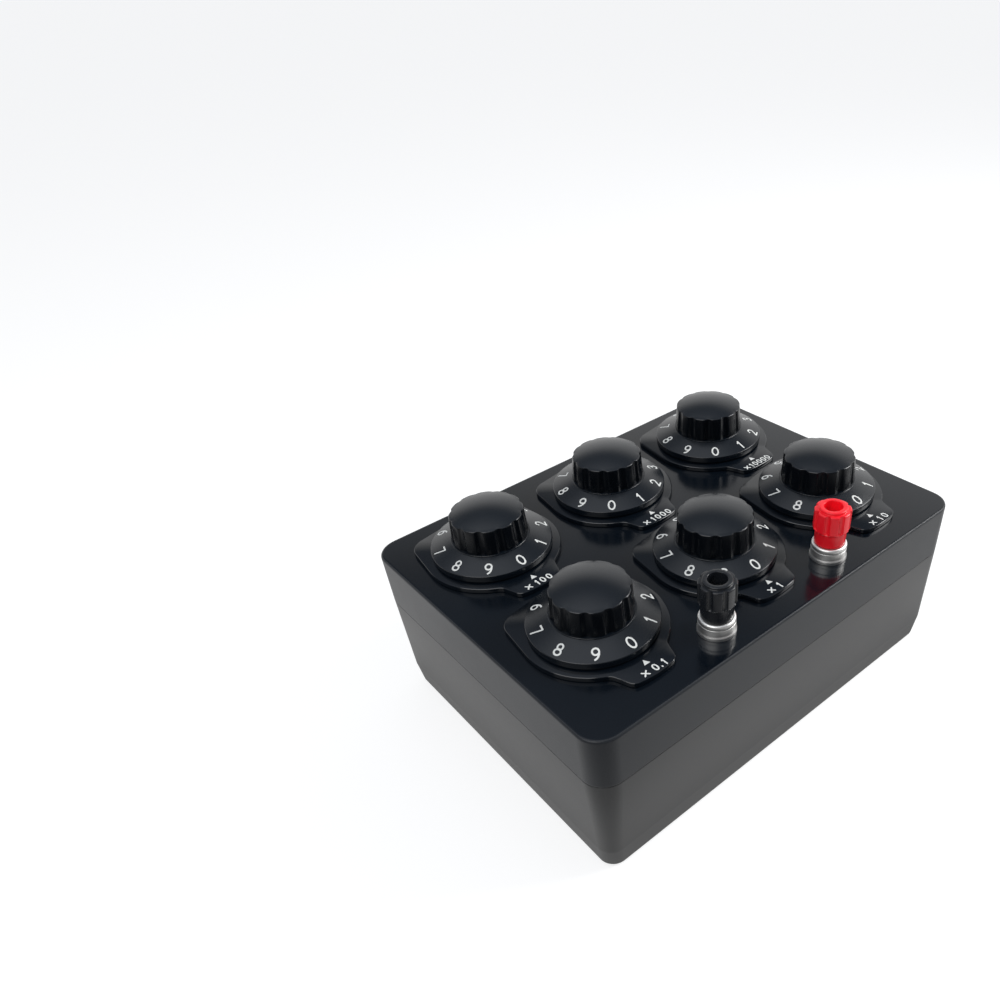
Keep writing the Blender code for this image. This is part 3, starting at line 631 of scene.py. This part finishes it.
# Painted shade: the upright sides of the grip get a darker copy of the knob's black, with weaker reflection, on the
# same moulding
grip_painted_shade_paint = moulding("grip_painted_shade_moulding", (0.0012, 0.0022, 0.0038), (0.0018, 0.0030, 0.0050), 0.25, 0.29, 2200.0, 0.000004,
                      1.3)
grip_side_slope = 0.4
for name, centre in dial_centres.items():
    bm = bmesh.new()
    spun(bm, knob_profile(), centre, knob_steps)
    flute(bm, centre)
    knob = fit(bm, "dial_knob_" + name, knob_paint, "dial_" + name, ["knob_" + name])
    knob.data.materials.append(grip_painted_shade_paint)
    # Faces of the grip's upright sides take the darker painted-shade copy
    for side in knob.data.polygons:
        side.material_index = int(side.center.z > grip_base and abs(side.normal.z) < grip_side_slope)


# The digits on the skirts and the marks on the tabs: strokes cut by a round-nosed engraver and filled with
# off-white paint. Each stroke has an even width and round ends.
pen = 0.0007
digit_height = 0.0049
digit_width = 0.0034
digit_circle = 0.0215
fill_height = 0.00004
pen_ends = (0.02, 0.38, 0.71, 0.92)


def curl(x, y, rx, ry, start, end):
    """Points on an oval, in degrees from its right-hand side."""
    steps = max(4, round(abs(end - start) / 20))
    turns = [radians(start + (end - start) * step / steps) for step in range(steps + 1)]
    return [(x + rx * cos(turn), y + ry * sin(turn)) for turn in turns]


# Strokes of each sign in shares of half its width and half its height
six_shares = [curl(0, -0.42, 0.92, 0.58, 180, 540), curl(0.55, -0.42, 1.47, 1.42, 180, 100)]
sign_shares = {
    "0": [curl(0, 0, 1, 1, 90, 450)],
    "1": [[(0.1, 1), (0.1, -1)], [(0.1, 1), (-0.5, 0.55)]],
    "2": [curl(0, 0.42, 0.9, 0.58, 165, -35) + [(-0.95, -1)], [(-0.95, -1), (0.95, -1)]],
    "3": [curl(0, 0.5, 0.82, 0.5, 150, -90), curl(0, -0.5, 0.95, 0.5, 90, -150)],
    "4": [[(0.45, -1), (0.45, 1)], [(0.45, 1), (-1, -0.45)], [(-1, -0.45), (1, -0.45)]],
    "5": [[(0.8, 1), (-0.65, 1)], [(-0.65, 1), (-0.8, 0.15)], curl(0, -0.36, 0.95, 0.64, 150, -150)],
    "6": six_shares,
    "7": [[(-0.9, 1), (0.9, 1)], [(0.9, 1), (-0.25, -1)]],
    "8": [curl(0, 0.5, 0.78, 0.5, 90, 450), curl(0, -0.47, 0.95, 0.53, 90, 450)],
    "9": [[(-x, -y) for x, y in stroke] for stroke in six_shares],
    "x": [[(-0.7, -0.7), (0.7, 0.7)], [(-0.7, 0.7), (0.7, -0.7)]],
    ".": [[(0, -1), (0, -0.85)]],
}


def engrave(signs, half_pen):
    """A mesh of filled strokes lying on the plane z = 0. Each sign is (character, half width, half height, place)."""
    curve = bpy.data.curves.new("strokes", "CURVE")
    curve.dimensions = "3D"
    curve.bevel_depth = half_pen
    curve.bevel_resolution = 2
    curve.use_fill_caps = True
    for sign, half_w, half_h, matrix in signs:
        for stroke in sign_shares[sign]:
            route = [matrix @ Vector((x * half_w, y * half_h, 0)) for x, y in stroke]
            closed = (route[0] - route[-1]).length < half_pen / 4
            if closed:
                points = [(point, 1.0) for point in route[:-1]]
            else:
                first = (route[0] - route[1]).normalized() * half_pen
                last = (route[-1] - route[-2]).normalized() * half_pen
                points = [(route[0] + first * sqrt(1 - share ** 2), share) for share in pen_ends]
                points += [(point, 1.0) for point in route]
                points += [(route[-1] + last * sqrt(1 - share ** 2), share) for share in reversed(pen_ends)]
            line = curve.splines.new("POLY")
            line.points.add(len(points) - 1)
            line.use_cyclic_u = closed
            for point, (place, share) in zip(line.points, points):
                point.co = (*place, 1)
                point.radius = share
    guide = bpy.data.objects.new("strokes", curve)
    bpy.context.scene.collection.objects.link(guide)
    bpy.context.view_layer.update()
    mesh = bpy.data.meshes.new_from_object(guide.evaluated_get(bpy.context.evaluated_depsgraph_get()))
    bpy.data.objects.remove(guide)
    bm = bmesh.new()
    bm.from_mesh(mesh)
    bpy.data.meshes.remove(mesh)
    bmesh.ops.scale(bm, verts=bm.verts, vec=(1, 1, fill_height / half_pen))
    return bm


paint = Paint(bpy.data.materials.new("filling_paint"))
place = paint.node("TexCoord", output="Object")
fleck = paint.node("TexNoise", {}, {"Vector": place, "Scale": 1400.0, "Detail": 4.0})
wear = paint.node("TexNoise", {}, {"Vector": place, "Scale": 260.0, "Detail": 3.0})
tint = paint.mix(fleck * 0.6 + wear * 0.4, (0.62, 0.63, 0.61, 1), (0.84, 0.85, 0.82, 1))
grain_bump = paint.node("Bump", {}, {"Strength": 0.3, "Distance": 0.00002, "Height": fleck})
filling = paint.node("BsdfPrincipled", {}, {"Base Color": tint, "Roughness": 0.45 + 0.2 * wear, "Normal": grain_bump})
paint.node("OutputMaterial", {}, {"Surface": filling})
white_paint = paint.owner

shown_digit = {"tenths": 0, "ones": 0, "tens": 0, "ten_thousands": 1, "thousands": 1, "hundreds": 0}
cone_slope = (cone_z - cone_foot) / (cone_radius - step_radius)
for name, (x, y) in dial_centres.items():
    signs = []
    for digit in range(10):
        turn = Matrix.Rotation((digit - shown_digit[name]) * tau / 10, 4, "Z")
        place = turn @ Matrix.Translation((0, -digit_circle, 0))
        signs.append((str(digit), (digit_width - pen) / 2, (digit_height - pen) / 2, place))
    bm = engrave(signs, pen / 2)
    for vert in bm.verts:
        radius = sqrt(vert.co.x ** 2 + vert.co.y ** 2)
        vert.co.z += cone_foot + (cone_radius - radius) * cone_slope
    bmesh.ops.translate(bm, verts=bm.verts, vec=(x, y, 0))
    fit(bm, "digits_" + name, white_paint, "dial_" + name, turned_out=True)

mark_pen = 0.0006
mark_height = 0.0035
mark_width = 0.0022
cross_size = 0.0029
mark_y = -0.0327
pointer_tip = -0.0271
pointer_foot = -0.0296
pointer_half = 0.0013
# Each sign of the multiplier and its distance from the middle of the tab
multipliers = {
    "tenths": (("x", -0.0036), ("0", 0.0009), (".", 0.0030), ("1", 0.0050)),
    "ones": (("x", -0.0028), ("1", 0.0017)),
    "tens": (("x", -0.0032), ("1", 0.0014), ("0", 0.0046)),
    "hundreds": (("x", -0.0048), ("1", -0.0008), ("0", 0.0018), ("0", 0.0048)),
    "thousands": (("x", -0.0062), ("1", -0.0026), ("0", 0.0000), ("0", 0.0029), ("0", 0.0058)),
    "ten_thousands": (("x", -0.0071), ("1", -0.0042), ("0", -0.0018), ("0", 0.0009), ("0", 0.0036), ("0", 0.0063)),
}
for name, (x, y) in dial_centres.items():
    signs = []
    for sign, across in multipliers[name]:
        half_w = (cross_size if sign == "x" else mark_width - mark_pen) / 2
        half_h = (cross_size if sign == "x" else mark_height - mark_pen) / 2
        signs.append((sign, half_w, half_h, Matrix.Translation((across, mark_y, 0))))
    bm = engrave(signs, mark_pen / 2)
    tip = [bm.verts.new((share * pointer_half, v, 0))
           for share, v in ((0, pointer_tip), (-1, pointer_foot), (1, pointer_foot))]
    face = bm.faces.new(tip)
    raised = bmesh.ops.extrude_face_region(bm, geom=[face])
    lifted = [part for part in raised["geom"] if isinstance(part, bmesh.types.BMVert)]
    bmesh.ops.translate(bm, verts=lifted, vec=(0, 0, fill_height))
    bmesh.ops.translate(bm, verts=bm.verts, vec=(x, y, plate_top))
    fit(bm, "marks_" + name, white_paint, "root")


# The fixed metal of the two binding posts: a turned and nickel-plated collar with a flange, and a stud with a
# bored plug socket. Fine turning lines run round both.
def plated(name, centre, colour, gloss, haze, ring_scale, ring_depth):
    """Turned metal: rings in its tint, gloss and skin about an upright axis, and a few soft stains."""
    paint = Paint(bpy.data.materials.new(name))
    place = paint.node("TexCoord", output="Object")
    moved = paint.node("Mapping", {}, {"Vector": place, "Location": (-centre[0], -centre[1], 0)})
    split = paint.node("SeparateXYZ", {}, {0: moved}, "X")
    radius = (split * split + split.out("Y") * split.out("Y")) ** 0.5
    profile = paint.node("CombineXYZ", {}, {"X": radius, "Y": 0.0, "Z": split.out("Z")})
    rings = paint.node("TexNoise", {}, {"Vector": profile, "Scale": ring_scale, "Detail": 4.0, "Roughness": 0.7})
    stain = paint.node("TexNoise", {}, {"Vector": place, "Scale": 300.0, "Detail": 4.0})
    dull = tuple(value * 0.82 for value in colour)
    tint = paint.mix(rings * 0.5 + stain * 0.5, (*dull, 1), (*colour, 1))
    rough = gloss + (haze - gloss) * (rings * 0.6 + stain * 0.4)
    bump = paint.node("Bump", {}, {"Strength": 0.3, "Distance": ring_depth, "Height": rings})
    metal = paint.node("BsdfPrincipled", {}, {"Base Color": tint, "Roughness": rough, "Metallic": 1.0, "Normal": bump})
    paint.node("OutputMaterial", {}, {"Surface": metal})
    return paint.owner


nickel = (0.90, 0.89, 0.87)
stud_radius = 0.003
stud_chamfer = 0.0004
socket_radius = 0.0021
socket_depth = 0.020
collar_radius = 0.0073
collar_body = 0.0070
flange_fillet = 0.0008
contact_gap = 0.00002
collar_bore = 0.0033
flange_height = 0.0012
metal_round = 0.00015
metal_steps = 160
nickel_paints = {}
for name, centre in post_centres.items():
    nickel_paints[name] = plated("nickel_" + name, centre, nickel, 0.36, 0.50, 5200.0, 0.00001)
    low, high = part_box(name + "_post_collar")
    bm = bmesh.new()
    profile = [(collar_bore, high.z)]
    profile += rounded(collar_body - metal_round, high.z - metal_round, pi / 2, 0, metal_round)
    profile += [(collar_body, low.z + flange_height + flange_fillet)]
    profile += [(collar_body + (collar_radius - collar_body) * share ** 2, low.z + flange_height + flange_fillet * (1 - share))
                for share in (0.4, 0.7, 0.9)]
    profile += rounded(collar_radius - metal_round, low.z + flange_height - metal_round, pi / 4, 0, metal_round)
    profile += rounded(collar_radius - metal_round, panel_top + contact_gap + metal_round, 0, -pi / 2, metal_round)
    profile += [(collar_bore, panel_top + contact_gap), (collar_bore, high.z)]
    spun(bm, profile, centre, metal_steps)
    fit(bm, "collar_" + name, nickel_paints[name], "root", [name + "_post_collar"])
    low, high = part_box(name + "_post_stud")
    bm = bmesh.new()
    profile = [(0, low.z), (stud_radius - stud_chamfer, low.z), (stud_radius, low.z + stud_chamfer),
               (stud_radius, high.z - stud_chamfer), (stud_radius - stud_chamfer, high.z),
               (socket_radius + 0.0002, high.z), (socket_radius, high.z - 0.0002), (socket_radius, high.z - socket_depth),
               (0, high.z - socket_depth)]
    spun(bm, profile, centre, 96)
    fit(bm, "stud_" + name, nickel_paints[name], "root", [name + "_post_stud"])


# The clamp washers: plated rings with a rounded side that lift with the caps and press a wire on the collars.
washer_radius = 0.0070
washer_round = 0.0009
washer_edge = 0.00005
for name, centre in post_centres.items():
    low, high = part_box(name + "_post_washer")
    bm = bmesh.new()
    profile = [(collar_bore, low.z), (collar_bore, high.z)]
    profile += rounded(washer_radius - washer_round, high.z - washer_round, pi / 2, 0, washer_round, 6)
    profile += rounded(washer_radius - washer_edge, low.z + washer_edge, 0, -pi / 2, washer_edge, 3)
    profile.append((collar_bore, low.z))
    spun(bm, profile, centre, metal_steps)
    fit(bm, "washer_" + name, nickel_paints[name], name + "_washer", [name + "_post_washer"])


# The two caps: black and red mouldings with a raised ring round a wide plug hole, eight grooves that end in a
# rounded toe, and a narrower plain foot. They turn on the studs and climb as they turn.
cap_radius = 0.0071
cap_foot_radius = 0.0061
cap_foot = 0.0056
cap_shoulder = 0.0012
cap_ring = 0.0055
cap_ring_height = 0.0010
cap_hole = 0.0037
cap_hole_depth = 0.0066
cap_grooves = 8
groove_radius = 0.0012
groove_depth = 0.0009
cap_steps = 320


def cap_profile(low, high):
    """From the hole's edge over the ring and barrel, under the foot and up the bore."""
    ledge = high - cap_ring_height
    barrel = low + cap_foot
    profile = rounded(cap_hole + 0.0002, high - 0.0002, pi, pi / 2, 0.0002, 3)
    profile += rounded(cap_ring - 0.0004, high - 0.0004, pi / 2, 0, 0.0004, 4)
    profile += [(cap_ring, ledge + 0.0001), (cap_ring + 0.0001, ledge)]
    profile += rounded(cap_radius - 0.0006, ledge - 0.0006, pi / 2, 0, 0.0006, 5)
    top, foot = ledge - 0.0006, barrel + cap_shoulder
    profile += [(cap_radius, top + (foot - top) * step / 24) for step in range(1, 25)]
    shares = [step / 6 for step in range(1, 7)]
    profile += [(cap_radius + (cap_foot_radius - cap_radius) * (3 * s ** 2 - 2 * s ** 3), foot - cap_shoulder * s)
                for s in shares]
    profile += rounded(cap_foot_radius - 0.0003, low + 0.0003, 0, -pi / 2, 0.0003, 3)
    profile += [(collar_bore, low), (collar_bore, high - cap_hole_depth), (cap_hole, high - cap_hole_depth),
                (cap_hole, high - 0.0002)]
    return profile


def groove(bm, centre, low, high):
    """Presses the grooves into the barrel; each ends in a ball at its toe."""
    axis = cap_radius + groove_radius - groove_depth
    toe = low + cap_foot + cap_shoulder / 2 + groove_radius
    for vert in bm.verts:
        x, y = vert.co.x - centre[0], vert.co.y - centre[1]
        radius = sqrt(x * x + y * y)
        if radius < cap_foot_radius - groove_depth or vert.co.z > high - cap_ring_height + weld_distance:
            continue
        reach = groove_radius ** 2 - max(toe - vert.co.z, 0) ** 2
        off = (atan2(y, x) / tau * cap_grooves) % 1 - 0.5
        across = axis * sin(off * tau / cap_grooves)
        if reach <= across ** 2:
            continue
        limit = axis * cos(off * tau / cap_grooves) - sqrt(reach - across ** 2)
        if radius > limit:
            vert.co.x = centre[0] + x * limit / radius
            vert.co.y = centre[1] + y * limit / radius


cap_paints = {
    "black": moulding("black_cap_moulding", (0.007, 0.008, 0.011), (0.010, 0.012, 0.015), 0.22, 0.32, 1800.0, 0.00001),
    "red": moulding("red_cap_moulding", (0.90, 0.006, 0.016), (0.98, 0.010, 0.024), 0.25, 0.36, 1800.0, 0.00001),
}
for name, centre in post_centres.items():
    low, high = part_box(name + "_post_cap")
    bm = bmesh.new()
    spun(bm, cap_profile(low.z, high.z), centre, cap_steps)
    groove(bm, centre, low.z, high.z)
    fit(bm, "cap_" + name, cap_paints[name], name + "_cap", [name + "_post_cap"])


# The pieces inside the case keep their solids and get their real finishes: turned brass bushes, steel shafts and
# screws, rolled bronze brushes, enamelled wire on the spools, plated nuts and insulated leads.
for name, centre in dial_centres.items():
    brass_paint = plated("brass_" + name, centre, (0.62, 0.42, 0.14), 0.22, 0.38, 3000.0, 0.00001)
    steel_paint = plated("steel_" + name, centre, (0.55, 0.55, 0.56), 0.22, 0.36, 3000.0, 0.00001)
    bronze_paint = plated("bronze_" + name, centre, (0.55, 0.30, 0.14), 0.28, 0.42, 2000.0, 0.00001)
    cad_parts["bush_" + name].material_slots[0].material = brass_paint
    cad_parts["shaft_" + name].material_slots[0].material = steel_paint
    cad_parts["brush_" + name].material_slots[0].material = bronze_paint
for centre, name in zip(corners, corner_names):
    screw_paint = plated("screw_steel_" + name, centre, (0.5, 0.5, 0.5), 0.25, 0.4, 3000.0, 0.00001)
    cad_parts["case_screw_" + name].material_slots[0].material = screw_paint
for name in post_centres:
    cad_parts[name + "_post_nut"].material_slots[0].material = nickel_paints[name]

wire_pitch = 0.0004
paint = Paint(bpy.data.materials.new("enamelled_wire"))
place = paint.node("TexCoord", output="Object")
turns = paint.node("TexWave", {"bands_direction": "Z"}, {"Vector": place, "Scale": 0.314 / wire_pitch, "Distortion": 0.0})
cloud = paint.node("TexNoise", {}, {"Vector": place, "Scale": 250.0, "Detail": 3.0})
# The wire's colour is darker between the turns and lighter on their crests: painted shade in the creases between the
# turns
tint = paint.mix(turns * 0.7 + cloud * 0.3, (0.10, 0.03, 0.012, 1), (0.42, 0.15, 0.05, 1))
coil_bump = paint.node("Bump", {}, {"Strength": 0.6, "Distance": 0.0001, "Height": turns})
wire = paint.node("BsdfPrincipled", {}, {"Base Color": tint, "Roughness": 0.3 + 0.2 * cloud, "Normal": coil_bump})
paint.node("OutputMaterial", {}, {"Surface": wire})
for name in dial_names:
    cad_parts["resistor_chain_" + name].material_slots[0].material = paint.owner

board_low, board_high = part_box("main_board")
stud_face = board_low.z + 0.0009
paint = Paint(bpy.data.materials.new("laminate"))
place = paint.node("TexCoord", output="Object")
weave = paint.node("TexNoise", {}, {"Vector": place, "Scale": 700.0, "Detail": 6.0, "Roughness": 0.65})
cloud = paint.node("TexNoise", {}, {"Vector": place, "Scale": 60.0, "Detail": 4.0})
resin = paint.mix(weave * 0.6 + cloud * 0.4, (0.07, 0.028, 0.010, 1), (0.17, 0.080, 0.030, 1))
depth = paint.node("SeparateXYZ", {}, {0: place}, "Z")
metal_share = paint.node("Math", {"operation": "LESS_THAN"}, {0: depth, 1: stud_face})
tint = paint.mix(metal_share, resin, (0.62, 0.42, 0.14, 1))
weave_bump = paint.node("Bump", {}, {"Strength": 0.25, "Distance": 0.00003, "Height": weave})
sheet = paint.node("BsdfPrincipled", {}, {"Base Color": tint, "Roughness": 0.35 + 0.2 * cloud, "Metallic": metal_share,
                                          "Normal": weave_bump})
paint.node("OutputMaterial", {}, {"Surface": sheet})
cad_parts["main_board"].material_slots[0].material = paint.owner

lead_paints = {"black": moulding("lead_black", grey(0.015), grey(0.025), 0.4, 0.55, 3000.0, 0.00002),
               "red": moulding("lead_red", (0.42, 0.008, 0.010), (0.5, 0.012, 0.014), 0.4, 0.55, 3000.0, 0.00002)}
for name in post_centres:
    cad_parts["lead_" + name].material_slots[0].material = lead_paints[name]

low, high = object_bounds()
